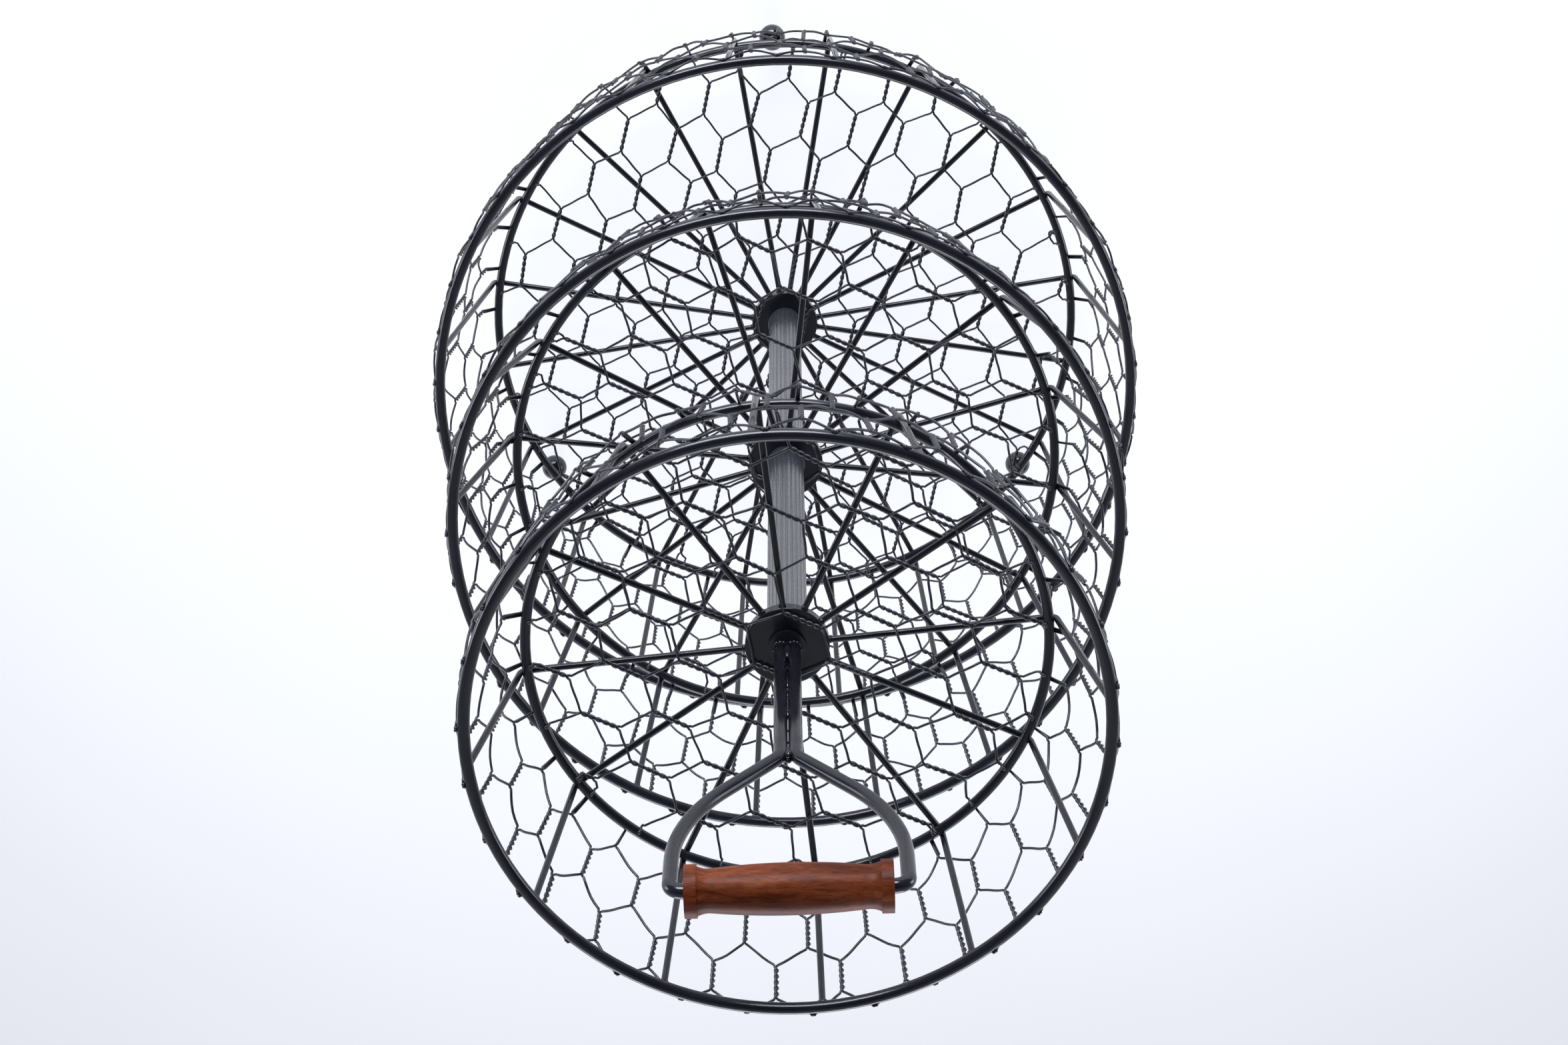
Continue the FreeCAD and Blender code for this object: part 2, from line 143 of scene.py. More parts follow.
def wire_mesh(name, paths, radius, sides=6):
    """One mesh of round wires along the given lists of points, each closed by end caps."""
    spots = []
    quads = []
    caps = []
    start = 0
    around = np.linspace(0, 2 * math.pi, sides, endpoint=False)
    ring_cos = np.cos(around)[None, :, None]
    ring_sin = np.sin(around)[None, :, None]
    corner = np.arange(sides)
    following = (corner + 1) % sides
    for path in paths:
        points = np.asarray(path, float)
        tangents = np.gradient(points, axis=0)
        tangents /= np.linalg.norm(tangents, axis=1)[:, None]
        side = np.cross(tangents[0], SKEW)
        side /= np.linalg.norm(side)
        sides_along = np.empty_like(points)
        for index, tangent in enumerate(tangents):
            side = side - tangent * np.dot(side, tangent)
            side /= np.linalg.norm(side)
            sides_along[index] = side
        others = np.cross(tangents, sides_along)
        rings = points[:, None] + radius * (ring_cos * sides_along[:, None]
                                            + ring_sin * others[:, None])
        count = len(points)
        spots.append(rings.reshape(-1, 3))
        base = start + np.arange(count - 1)[:, None] * sides
        quads.append(np.stack([base + corner, base + following, base + sides + following,
                               base + sides + corner], axis=-1).reshape(-1, 4))
        caps.append(start + corner[::-1])
        caps.append(start + (count - 1) * sides + corner)
        start += count * sides
    spots = np.concatenate(spots)
    quads = np.concatenate(quads)
    caps = np.asarray(caps)
    mesh = bpy.data.meshes.new(name)
    mesh.vertices.add(len(spots))
    mesh.vertices.foreach_set("co", spots.ravel())
    mesh.loops.add(quads.size + caps.size)
    mesh.loops.foreach_set("vertex_index", np.concatenate([quads.ravel(), caps.ravel()]))
    mesh.polygons.add(len(quads) + len(caps))
    quad_starts = np.arange(len(quads)) * 4
    cap_starts = quads.size + np.arange(len(caps)) * sides
    mesh.polygons.foreach_set("loop_start", np.concatenate([quad_starts, cap_starts]))
    mesh.update(calc_edges=True)
    mesh.validate()
    mesh.shade_smooth()
    return mesh


# ---------------------------------------------------------------- twisted netting
NET_RADIUS = 0.57 * MM
# turns of the two wires in each twist, and steps along a wire per turn
TWIST_TURNS = 3
TWIST_STEPS = 8
# how far each of the two wires stands off the middle of the twist, in wire radii, and how much
# further at the twist's ends, where a small loop stands open
TWIST_SLACK = 1.0
LOOP_SWELL = 0.70
# how uneven the netting is: where a twist starts, its length, and how far its ends lie from
# their column, in half meshes
START_SHIFT = 1.2 * MM
LENGTH_SHIFT = 0.9 * MM
LEAN = 0.06
# a single wire between two twists: how far it bows outward, as a share of the looseness, how
# far it curls aside, as a share of its way across, and how many stretches it is drawn with
BOW = (-0.1, 0.35)
CURL = 0.02
STRAND_STEPS = 5


class Netting:
    """Hexagonal netting on any surface. place(column, along, off) gives a point: column counts
    half meshes, along runs down the twists, off is the height over the middle surface. loose is
    the most that a twist stands off that surface."""

    def __init__(self, place, half_mesh, first, pitch, twist, rows, loose, seed):
        self.place = place
        self.half_mesh = half_mesh
        self.loose = loose
        self.first = first
        self.pitch = pitch
        self.twist = twist
        self.rows = rows
        self.seed = seed

    def twist_ends(self, row, column):
        """Where that twist starts and ends along the wires, with its own small shifts."""
        draw = random.Random(f"{self.seed}-{row}-{column}")
        start = self.first + row * self.pitch + draw.uniform(-START_SHIFT, START_SHIFT)
        end = start + self.twist + draw.uniform(-LENGTH_SHIFT, LENGTH_SHIFT)
        lean = [draw.uniform(-LEAN, LEAN), draw.uniform(-LEAN, LEAN)]
        lift = [draw.uniform(0, self.loose), draw.uniform(0, self.loose)]
        return start, end, lean, lift

    def wire(self, lane, wrap):
        """The points of the wire that runs between half-mesh columns lane and lane + 1. wrap is
        the number of columns round, or 0 on a sheet with two edges."""
        points = []
        previous = None
        for row in self.rows:
            column = lane if (lane - row) % 2 == 0 else lane + 1
            shift = 0 if column == lane else math.pi
            start, end, lean, lift = self.twist_ends(row, column % wrap if wrap else column)
            steps = TWIST_TURNS * TWIST_STEPS
            helix = []
            for step in range(steps + 1):
                share = step / steps
                angle = shift + 2 * math.pi * TWIST_TURNS * share
                spread = NET_RADIUS * (TWIST_SLACK + LOOP_SWELL * (2 * share - 1) ** 8)
                sideways = spread * math.cos(angle) / self.half_mesh
                middle = column + lean[0] * (1 - share) + lean[1] * share
                along = start + (end - start) * share
                rise = lift[0] * (1 - share) + lift[1] * share
                helix.append((middle + sideways, along, rise + spread * math.sin(angle)))
            if previous:
                bow = random.Random(f"{self.seed}-{lane}-{row}").uniform(*BOW) * self.loose
                points += self.strand(previous, helix[0], bow)
            points += helix
            previous = helix[-1]
        return points

    def strand(self, start, end, bow):
        """The single wire between two twists: nearly straight, bowed outward by that much."""
        points = []
        for step in range(1, STRAND_STEPS):
            share = step / STRAND_STEPS
            eased = share + CURL * math.sin(2 * math.pi * share)
            points.append((start[0] + (end[0] - start[0]) * eased,
                           start[1] + (end[1] - start[1]) * share,
                           start[2] + (end[2] - start[2]) * share
                           + bow * math.sin(math.pi * share)))
        return points


SIDE_MESH = {
    # meshes round, turn of the first twist, first twist below the rim, row pitch, twist length
    "bottom": (42, math.radians(1.2), 5.5 * MM, 29.6 * MM, 20.0 * MM),
    "middle": (36, math.radians(5.0), 5.6 * MM, 28.4 * MM, 20.5 * MM),
    "top": (30, math.radians(4.0), 9.8 * MM, 29.8 * MM, 19.8 * MM),
}
# middle of the netting over the ribs, in wire radii, and how loosely it stands off beyond that
OVER_RIBS = 2.1
SIDE_LOOSE = 2.8 * MM
# the pattern ends this far up the wall, where the wires bend in under the base ring at these
# angles up from its outermost line, in degrees
WALL_FOOT = 5 * MM
HOOK_ANGLES = range(-14, -100, -17)
# the wires' ends on the rim: how far they stray from their column and stand apart, in half
# meshes, the angles up from the rim's outermost line that they are welded at, and how much
# lower they bend off it, in degrees
END_SHIFT = 0.12
END_GAP = 0.035
END_ANGLES = (-8, 24)
END_DROP = 14
# how a wire comes down from that bend to its first twist: the share of the way across at the
# bend and where it leaves the rim, how far down it leaves, at most and as a share of the way to
# the twist, and how far it stands off there and bows
BEND_SHARE = 0.10
LEAVING_SHARE = 0.16
LEAVING_DROP = 1.2 * MM
LEAVING_DROP_SHARE = 0.2
LEAVING_LIFT = 0.25 * MM
LEAVING_BOW = 0.3 * MM
# radius of the weld on a wire's end
RIM_NUB = 0.82 * MM


def side_netting(basket):
    """The netting round the ribs, its ends welded to the rim's outside and under the base ring.
    Returns where it is welded to the rim, with the size of each weld."""
    count, first_turn, drop, pitch, twist = SIDE_MESH[basket.tier]
    half_turn = math.pi / count
    stand_off = basket.rib_wire + OVER_RIBS * NET_RADIUS
    middle_radius = (basket.rim.radius + basket.base.radius) / 2
    half_mesh = half_turn * middle_radius
    lowest = basket.slope - WALL_FOOT

    def place(column, along, off):
        turn = first_turn + column * half_turn
        return basket.on_wall(turn, basket.slope - along, stand_off + off)

    last_row = int((lowest - drop) / pitch)
    net = Netting(place, half_mesh, drop, pitch, twist, range(0, last_row + 1), SIDE_LOOSE,
                  basket.tier + "-side")
    paths = []
    nubs = []
    for lane in range(2 * count):
        flat = [p for p in net.wire(lane, 2 * count) if p[1] < lowest]
        # neighbouring wires meet on the rim's outside, in the column beside the first twist
        column = lane + 1 if (lane % 2 == 0) else lane
        draw = random.Random(f"{basket.tier}-end-{column % (2 * count)}")
        joint = column + draw.uniform(-END_SHIFT, END_SHIFT)
        joint += END_GAP if column == lane else -END_GAP
        over = math.radians(draw.uniform(*END_ANGLES))
        aside = flat[0][0] - joint
        tip = around_ring(basket.rim, first_turn + joint * half_turn, over)
        bend = around_ring(basket.rim, first_turn + (joint + aside * BEND_SHARE) * half_turn,
                           min(over, 0) - math.radians(END_DROP))
        nubs.append((tip, RIM_NUB))
        leaving = (joint + aside * LEAVING_SHARE,
                   min(LEAVING_DROP, flat[0][1] * LEAVING_DROP_SHARE), LEAVING_LIFT)
        flat = [leaving] + net.strand(leaving, flat[0], LEAVING_BOW) + flat
        path = [tip, bend] + [place(*p) for p in flat]
        # under the base ring
        base_turn = first_turn + flat[-1][0] * half_turn
        for angle in HOOK_ANGLES:
            path.append(around_ring(basket.base, base_turn, math.radians(angle)))
        paths.append(path)
    mesh = wire_mesh(f"{basket.tier}_side_wires", paths, NET_RADIUS)
    piece = new_object(f"{basket.tier}_side_wires", mesh, basket.body, "netting_black")
    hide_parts(f"{basket.tier}_side_netting")
    return nubs


FLOOR_MESH = {
    # direction of the twists, mesh width, row pitch, shift across and along the twists
    "bottom": (math.radians(77.8), 25.6 * MM, 27.6 * MM, (-1.7 * MM, -1.5 * MM)),
    "middle": (math.radians(155.5), 25.8 * MM, 27.7 * MM, (2.5 * MM, -1.3 * MM)),
    "top": (math.radians(154.9), 26.1 * MM, 27.9 * MM, (1.5 * MM, -0.1 * MM)),
}
FLOOR_TWIST = 19.6 * MM
FLOOR_LOOSE = 0.5 * MM
# middle of the netting over the hub, and its end before the base ring, in wire radii
OVER_HUB = 2.2
EDGE_GAP = 2.0
# the sheet lies on the hub and settles this much on the spokes, within this distance of the hub
FLOOR_SAG = 0.9 * MM
SAG_REACH = 12 * MM
# its wires climb the base ring from the inside, at these angles up from the outermost line
CLIMB_ANGLES = range(196, 119, -19)
# points in the shortest stretch of wire that is kept
SHORTEST_RUN = 5
RING_NUB = 0.8 * MM


def floor_netting(basket):
    """The round sheet of netting over the spokes, with one of its meshes round the post.
    Returns where it is welded to the base ring, with the size of each weld."""
    direction, width, pitch, shift = FLOOR_MESH[basket.tier]
    half_mesh = width / 2
    along_axis = Vector((math.cos(direction), math.sin(direction), 0))
    across_axis = Vector((-math.sin(direction), math.cos(direction), 0))
    over_hub = basket.hub_top + OVER_HUB * NET_RADIUS
    edge = basket.base.radius - basket.base.wire - EDGE_GAP * NET_RADIUS

    def place(column, along, off):
        # half a mesh over, so that the post stands between two twists of row 0
        across = (column - 1) * half_mesh + shift[0]
        spot = across_axis * across + along_axis * (along + shift[1])
        from_hub = (spot.length - basket.hub_radius) / SAG_REACH
        settled = min(1.0, max(0.0, from_hub))
        height = over_hub + off - FLOOR_SAG * settled * settled * (3 - 2 * settled)
        return (spot.x, spot.y, height)

    rows = int(edge / pitch) + 2
    net = Netting(place, half_mesh, -FLOOR_TWIST / 2, pitch, FLOOR_TWIST,
                  range(-rows, rows + 1), FLOOR_LOOSE, basket.tier + "-floor")
    lanes = int(edge / half_mesh) + 2
    paths = []
    nubs = []
    for lane in range(-lanes, lanes + 2):
        for run in inside_runs([place(*p) for p in net.wire(lane, 0)], edge):
            path = ring_end(basket, run[0])[::-1] + run + ring_end(basket, run[-1])
            paths.append(path)
            nubs += [(path[0], RING_NUB), (path[-1], RING_NUB)]
    mesh = wire_mesh(f"{basket.tier}_floor_wires", paths, NET_RADIUS)
    piece = new_object(f"{basket.tier}_floor_wires", mesh, basket.body, "netting_black")
    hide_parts(f"{basket.tier}_floor_netting")
    return nubs


def inside_runs(path, edge):
    """The stretches of a path that lie inside a circle round the axis, without the shortest."""
    runs = [[]]
    for point in path:
        if math.hypot(point[0], point[1]) < edge:
            runs[-1].append(point)
        elif runs[-1]:
            runs.append([])
    return [run for run in runs if len(run) >= SHORTEST_RUN]


# middle of a netting wire over the surface of the hoop it is welded to, in wire radii
WELDED_REACH = 0.75


def around_ring(ring, turn, over):
    """Where a netting wire lies against a hoop: over is the angle up from its outermost line."""
    reach = ring.wire + NET_RADIUS * WELDED_REACH
    radius = ring.radius + reach * math.cos(over)
    return (radius * math.cos(turn), radius * math.sin(turn),
            ring.height + reach * math.sin(over))


def ring_end(basket, last):
    """The end of a floor wire, climbing on to the inside of the base ring."""
    turn = math.atan2(last[1], last[0])
    return [around_ring(basket.base, turn, math.radians(angle)) for angle in CLIMB_ANGLES]


# ---------------------------------------------------------------- weld beads
# length and radius of each kind of bead
RIM_BEAD = (4.6 * MM, 1.55 * MM)
BASE_BEAD = (4.4 * MM, 1.3 * MM)
HUB_BEAD = (3.6 * MM, 1.7 * MM)
FOOT_BEAD = (1.7 * MM, 2.9 * MM)
# how far the bead's middle lies under the rim, out from the base ring's middle line, out from
# the hub's edge, and under the base ring at a ball foot
UNDER_RIM = 0.15 * MM
BESIDE_BASE = 0.4 * MM
BESIDE_HUB = 0.2 * MM
UNDER_BASE = 0.2 * MM
# length of the weld on a netting wire's end, in its radii
NUB_LENGTH = 1.9
UPRIGHT = (0, 0, 1)


def bead(builder, centre, axis, length, radius, seed):
    """A small uneven lump of weld under the coat, stretched along an axis."""
    draw = random.Random(seed)
    phase = [draw.uniform(0, 6.28) for _ in range(3)]
    made = bmesh.ops.create_icosphere(builder, subdivisions=2, radius=1.0)
    turn = Vector(UPRIGHT).rotation_difference(Vector(axis)).to_matrix()
    for vertex in made["verts"]:
        spot = vertex.co.copy()
        swell = 1 + 0.10 * math.sin(3.1 * spot.x + phase[0]) * math.cos(2.7 * spot.y + phase[1])
        swell += 0.07 * math.sin(4.3 * spot.z + phase[2])
        spot = Vector((spot.x * radius, spot.y * radius, spot.z * length / 2)) * swell
        vertex.co = turn @ spot + Vector(centre)


def bead_object(name, body, slot, beads):
    """One piece of many beads, each given as centre, axis, length and radius."""
    builder = bmesh.new()
    for index, (centre, axis, length, radius) in enumerate(beads):
        bead(builder, centre, axis, length, radius, f"{name}-{index}")
    for face in builder.faces:
        face.smooth = True
    mesh = bpy.data.meshes.new(name)
    builder.to_mesh(mesh)
    builder.free()
    return new_object(name, mesh, body, slot)


def basket_welds(basket, nubs):
    """Welds of a basket: ribs to rim, base ring and hub, and the ends of the netting."""
    beads = []
    for angle in basket.rib_angles():
        around = (-math.sin(angle), math.cos(angle), 0)
        rim_spot = basket.on_wall(angle, basket.slope - basket.rim.wire - UNDER_RIM, 0)
        beads.append((rim_spot, around, *RIM_BEAD))
        radius = basket.base.radius + BESIDE_BASE
        beads.append(((radius * math.cos(angle), radius * math.sin(angle),
                       basket.base.height - basket.base.wire), around, *BASE_BEAD))
        radius = basket.hub_radius + BESIDE_HUB
        beads.append(((radius * math.cos(angle), radius * math.sin(angle), basket.hub_height),
                      UPRIGHT, *HUB_BEAD))
    wires = [(spot, UPRIGHT, NUB_LENGTH * size, size) for spot, size in nubs]
    bead_object(f"{basket.tier}_frame_welds", basket.body, "wire_black", beads)
    bead_object(f"{basket.tier}_netting_welds", basket.body, "netting_black", wires)


def foot_welds():
    """The bead round the neck of each ball foot, under the bottom base ring."""
    ring = Ring("bottom_base_ring")
    beads = []
    for name in sorted(n for n in frame["nodes"] if n.startswith("foot_")):
        low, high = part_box(name)
        height = ring.height - ring.wire - UNDER_BASE
        middle = ((low.x + high.x) / 2, (low.y + high.y) / 2, height)
        beads.append((middle, UPRIGHT, *FOOT_BEAD))
    bead_object("foot_welds", "base", "feet_black", beads)


# ---------------------------------------------------------------- handle
# sizes as in the CAD: the neck's length, half the gap between the rods' middles, half the
# stirrup's width, the arm's tilt from upright, and the radius of each bend
NECK_LENGTH = 91.5 * MM
NECK_HALF_GAP = 2.8 * MM
STIRRUP_HALF_WIDTH = 42.0 * MM
ARM_TILT = math.radians(39.7)
SHOULDER_RISE = (STIRRUP_HALF_WIDTH - NECK_HALF_GAP) / math.tan(ARM_TILT)
SPLIT_BEND = 10.0 * MM
SHOULDER_BEND = 79.0 * MM
CORNER_BEND = 5.2 * MM
# turn between two points on a bend, and the number of faces round the rod
BEND_STEP = math.radians(3)
ROD_SIDES = 32
# vertices this near the lowest one lie in the flat ends of the rod
LEVEL = 0.01 * MM
# beads round each end of the rod: their angles about it in degrees, length and radius, height
TOE_ANGLES = range(-120, 121, 30)
TOE_BEAD = (1.7 * MM, 1.15 * MM)
TOE_RISE = 0.2 * MM
# beads in the grooves between the two rods: their distance from the rods' plane, in rod radii,
# and the share of it for the deeper ones, then length and radius, and height from the split or
# the foot
GROOVE_DEPTH = 0.42
DEEPER = 0.8
SPLIT_BEAD = (4.6 * MM, 1.45 * MM)
SPLIT_RISE = 0.4 * MM
CROTCH_BEAD = (4.0 * MM, 1.1 * MM)
CROTCH_DROP = 3.2 * MM
HEEL_BEAD = (12 * MM, 1.5 * MM)
HEEL_RISE = 5 * MM
# drops of spatter in each groove: how many, how near to the foot and to the split at most, and
# the least and most that they are long and thick, in millimetres
SPATTER = 9
SPATTER_RISE = 10 * MM
SPATTER_DROP = 8 * MM
SPATTER_LENGTHS = (0.8, 2.2)
SPATTER_RADII = (0.35, 0.6)


class Handle:
    """The stirrup's main points, from the CAD wire: its feet, rod radius and direction."""

    def __init__(self):
        spots = [vertex.co for vertex in frame["nodes"]["handle_wire"].data.vertices]
        self.foot = min(spot.z for spot in spots)
        right = [s for s in spots if s.z < self.foot + LEVEL and s.x > 0]
        centre = sum(right, Vector()) / len(right)
        self.rod = max((spot - centre).length for spot in right)
        self.half_gap = centre.xy.length
        self.across = Vector((centre.x, centre.y, 0)).normalized()
        self.aside = Vector((-self.across.y, self.across.x, 0))
        self.half_width = max(spot.dot(self.across) for spot in spots) - self.rod
        self.bar = max(spot.z for spot in spots) - self.rod
        self.split = self.foot + NECK_LENGTH

    def spot(self, sideways, height):
        """A point in the stirrup's own plane."""
        return self.across * sideways + Vector((0, 0, height))


def bent_path(corners, bends, step):
    """Points along straight runs joined by tangent arcs, one bend radius per inner corner."""
    points = [corners[0]]
    for before, corner, after, bend in zip(corners, corners[1:], corners[2:], bends):
        arriving = (corner - before).normalized()
        leaving = (after - corner).normalized()
        turn = arriving.angle(leaving)
        start = corner - arriving * bend * math.tan(turn / 2)
        middle = start + (leaving - arriving * arriving.dot(leaving)).normalized() * bend
        spoke = start - middle
        axis = arriving.cross(leaving).normalized()
        count = max(4, round(turn / step))
        for index in range(count + 1):
            share = turn * index / count
            points.append(middle + Matrix.Rotation(share, 3, axis) @ spoke)
    points.append(corners[-1])
    return points


def handle_rod(handle):
    """The bent rod: up the neck, along the arm and the side, across the bar and back down."""
    shoulder = handle.split + SHOULDER_RISE
    rising = [handle.spot(handle.half_gap, handle.foot), handle.spot(handle.half_gap, handle.split),
              handle.spot(handle.half_width, shoulder), handle.spot(handle.half_width, handle.bar)]
    falling = [Vector((-spot.x, -spot.y, spot.z)) for spot in reversed(rising)]
    bends = [SPLIT_BEND, SHOULDER_BEND, CORNER_BEND]
    path = bent_path(rising + falling, bends + bends[::-1], BEND_STEP)
    mesh = wire_mesh("handle_rod", [path], handle.rod, ROD_SIDES)
    piece = new_object("handle_rod", mesh, "handle", "wire_black")
    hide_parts("handle_wire")


def handle_welds(handle):
    """The welds of the twin rods: round their ends on the washer and along the grooves between
    them, with drops of spatter."""
    foot, split, rod = handle.foot, handle.split, handle.rod
    across, aside = handle.across, handle.aside
    beads = []
    for side in (1, -1):
        for degrees in TOE_ANGLES:
            angle = math.radians(degrees)
            spot = across * side * (handle.half_gap + rod * math.cos(angle))
            spot += aside * rod * math.sin(angle)
            beads.append(((spot.x, spot.y, foot + TOE_RISE), UPRIGHT, *TOE_BEAD))
    draw = random.Random("handle-spatter")
    for face in (1, -1):
        groove = aside * face * rod * GROOVE_DEPTH
        deep = groove * DEEPER
        for place, height, size in ((groove, split + SPLIT_RISE, SPLIT_BEAD),
                                    (deep, split - CROTCH_DROP, CROTCH_BEAD),
                                    (groove, foot + HEEL_RISE, HEEL_BEAD)):
            beads.append((place + Vector((0, 0, height)), UPRIGHT, *size))
        for _ in range(SPATTER):
            climb = draw.uniform(SPATTER_RISE, NECK_LENGTH - SPATTER_DROP)
            length = draw.uniform(*SPATTER_LENGTHS) * MM
            radius = draw.uniform(*SPATTER_RADII) * MM
            beads.append((deep + Vector((0, 0, foot + climb)), UPRIGHT, length, radius))
    bead_object("handle_welds", "handle", "wire_black", beads)


# ---------------------------------------------------------------- materials
class Nodes:
    """A short way to write a node tree."""

    def __init__(self, name):
        self.material = bpy.data.materials.new(name)
        self.material.use_nodes = True
        self.tree = self.material.node_tree
        self.shader = self.tree.nodes["Principled BSDF"]

    def add(self, kind, **settings):
        item = self.tree.nodes.new(kind)
        for key, value in settings.items():
            setattr(item, key, value)
        return item

    def link(self, source, target):
        self.tree.links.new(source, target)

    def noise(self, coordinates, scale, detail=3.0, roughness=0.55):
        item = self.add("ShaderNodeTexNoise")
        item.inputs["Scale"].default_value = scale
        item.inputs["Detail"].default_value = detail
        item.inputs["Roughness"].default_value = roughness
        self.link(coordinates, item.inputs["Vector"])
        return item.outputs["Fac"]

    def ramp(self, factor, stops):
        item = self.add("ShaderNodeValToRGB")
        while len(item.color_ramp.elements) < len(stops):
            item.color_ramp.elements.new(0.5)
        for element, (place, colour) in zip(item.color_ramp.elements, stops):
            element.position = place
            element.color = (*colour, 1)
        self.link(factor, item.inputs["Fac"])
        return item.outputs["Color"]

    def spread(self, factor, low, high):
        item = self.add("ShaderNodeMapRange")
        item.inputs["To Min"].default_value = low
        item.inputs["To Max"].default_value = high
        self.link(factor, item.inputs["Value"])
        return item.outputs["Result"]

    def bump(self, height, strength, distance):
        item = self.add("ShaderNodeBump")
        item.inputs["Strength"].default_value = strength
        item.inputs["Distance"].default_value = distance
        self.link(height, item.inputs["Height"])
        return item.outputs["Normal"]


def powder_coat(name, dark, light, smooth, rough, index=1.55, level=0.5):
    """Black powder coat: uneven in depth of colour and in gloss, with a slow orange peel. smooth
    and rough are the ends of its roughness, index and level say how strongly it mirrors."""
    nodes = Nodes(name)
    coordinates = nodes.add("ShaderNodeTexCoord").outputs["Object"]
    broad = nodes.noise(coordinates, scale=40.0, detail=2.0)
    peel = nodes.noise(coordinates, scale=170.0, detail=1.0)
    nodes.link(nodes.ramp(broad, [(0.3, dark), (0.75, light)]), nodes.shader.inputs["Base Color"])
    nodes.link(nodes.spread(peel, smooth, rough), nodes.shader.inputs["Roughness"])
    nodes.link(nodes.bump(peel, strength=0.25, distance=0.00005), nodes.shader.inputs["Normal"])
    nodes.shader.inputs["IOR"].default_value = index
    nodes.shader.inputs["Specular IOR Level"].default_value = level
    return nodes.material


def steel():
    """Zinc-plated fixings, faintly brushed."""
    nodes = Nodes("zinc_steel")
    coordinates = nodes.add("ShaderNodeTexCoord").outputs["Object"]
    cloud = nodes.noise(coordinates, scale=300.0, detail=4.0)
    nodes.link(nodes.ramp(cloud, [(0.3, (0.42, 0.42, 0.43)), (0.7, (0.62, 0.62, 0.63))]),
               nodes.shader.inputs["Base Color"])
    nodes.link(nodes.spread(cloud, low=0.25, high=0.42), nodes.shader.inputs["Roughness"])
    nodes.link(nodes.bump(cloud, strength=0.2, distance=0.00005), nodes.shader.inputs["Normal"])
    nodes.shader.inputs["Metallic"].default_value = 1.0
    return nodes.material


def varnished_wood():
    """Red-brown turned hardwood: long streaks along the grip, fine pores, a thin varnish."""
    nodes = Nodes("varnished_wood")
    coordinates = nodes.add("ShaderNodeTexCoord").outputs["Object"]
    stretch = nodes.add("ShaderNodeMapping")
    stretch.inputs["Scale"].default_value = (0.17, 1.0, 1.0)
    nodes.link(coordinates, stretch.inputs["Vector"])
    along = stretch.outputs["Vector"]
    streaks = nodes.noise(along, scale=420.0, detail=6.0, roughness=0.62)
    bands = nodes.noise(along, scale=120.0, detail=3.0, roughness=0.5)
    pores = nodes.noise(along, scale=1900.0, detail=2.0, roughness=0.6)
    mix = nodes.add("ShaderNodeMix", data_type="FLOAT")
    mix.inputs["Factor"].default_value = 0.45
    nodes.link(streaks, mix.inputs["A"])
    nodes.link(bands, mix.inputs["B"])
    colour = nodes.ramp(mix.outputs["Result"], [
        (0.26, (0.030, 0.006, 0.002)), (0.42, (0.105, 0.021, 0.006)),
        (0.56, (0.205, 0.048, 0.016)), (0.76, (0.380, 0.122, 0.052))])
    darker = nodes.add("ShaderNodeMix", data_type="RGBA", blend_type="MULTIPLY")
    darker.inputs["Factor"].default_value = 0.55
    nodes.link(colour, darker.inputs["A"])
    nodes.link(nodes.ramp(pores, [(0.36, (0.45, 0.40, 0.38)), (0.50, (1.0, 1.0, 1.0))]),
               darker.inputs["B"])
    nodes.link(darker.outputs["Result"], nodes.shader.inputs["Base Color"])
    nodes.link(nodes.spread(streaks, low=0.34, high=0.52), nodes.shader.inputs["Roughness"])
    nodes.link(nodes.bump(pores, strength=0.35, distance=0.00008), nodes.shader.inputs["Normal"])
    nodes.shader.inputs["Specular IOR Level"].default_value = 0.12
    nodes.shader.inputs["Coat Weight"].default_value = 0.02
    nodes.shader.inputs["Coat Roughness"].default_value = 0.20
    return nodes.material


# painted light on the floor: the middle of the bright pool of light painted on it, its edge and the
# distance where it has faded, and the glow in it and beyond it
POOL_MIDDLE = (0, -0.25, 0)
POOL_EDGES = (0.35, 0.95)
PAINTED_LIGHT_GLOWS = (0.88, 0.58)
GLOW_COLOUR = (0.93, 0.95, 1.0, 1)


def floor_with_painted_light():
    """The pale floor, with a painted pool of light: it glows softly in a wide pool in front of the
    stand, as under a strong light, and less and less round it."""
    nodes = Nodes("pale_floor_painted_light")
    coordinates = nodes.add("ShaderNodeTexCoord").outputs["Object"]
    cloud = nodes.noise(coordinates, scale=3.0, detail=2.0)
    nodes.link(nodes.ramp(cloud, [(0.2, (0.30, 0.305, 0.32)), (0.8, (0.33, 0.335, 0.35))]),
               nodes.shader.inputs["Base Color"])
    nodes.shader.inputs["Roughness"].default_value = 0.65
    reach = nodes.add("ShaderNodeVectorMath", operation="DISTANCE")
    reach.inputs[1].default_value = POOL_MIDDLE
    nodes.link(coordinates, reach.inputs[0])
    fall = nodes.add("ShaderNodeMapRange", interpolation_type="SMOOTHSTEP")
    fall.inputs["From Min"].default_value, fall.inputs["From Max"].default_value = POOL_EDGES
    fall.inputs["To Min"].default_value, fall.inputs["To Max"].default_value = PAINTED_LIGHT_GLOWS
    nodes.link(reach.outputs["Value"], fall.inputs["Value"])
    # painted light: the floor's emission is a glowing pool that stands in for the light of a strong
    # lamp, fading round it
    nodes.link(fall.outputs["Result"], nodes.shader.inputs["Emission Strength"])
    nodes.shader.inputs["Emission Color"].default_value = GLOW_COLOUR
    return nodes.material


